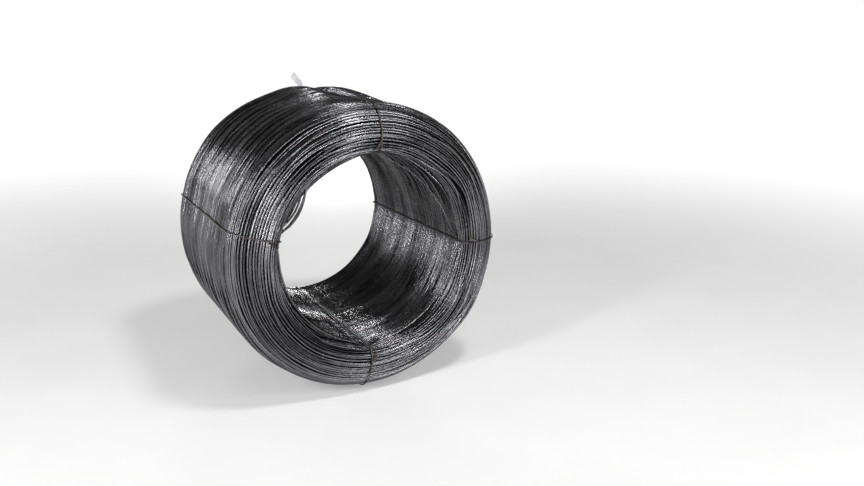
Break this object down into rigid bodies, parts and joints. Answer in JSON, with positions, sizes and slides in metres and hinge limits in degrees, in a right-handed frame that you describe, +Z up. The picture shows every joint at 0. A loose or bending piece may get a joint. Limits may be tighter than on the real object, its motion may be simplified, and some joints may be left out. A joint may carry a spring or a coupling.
{
  "type": "coil of spring steel wire",
  "caption": "Round coil of dark spring steel wire lying on its rim, with an open bore, rounded ends, wire ties and a blank tag.",
  "frame": {"origin": "on the floor under the middle of the coil, which lies on its rim", "axes": "+Z up, +Y along the bore from the front end to the back end, +X to the right seen from the front end"},
  "size_m": [0.8499, 0.6832, 0.8988],
  "materials": {
    "spring_wire": "bright-drawn spring steel wire under a thin dark oil film, glossy along each turn",
    "tie_wire": "dark annealed binding wire, dull",
    "tag": "plain white sheet, blank and slightly creased"
  },
  "bodies": {
    "root": {"wire_coil": "spring_wire", "tie_right": "tie_wire", "tie_top": "tie_wire", "tie_left": "tie_wire", "tie_bottom": "tie_wire", "label_tag": "tag"}
  },
  "joints": []
}
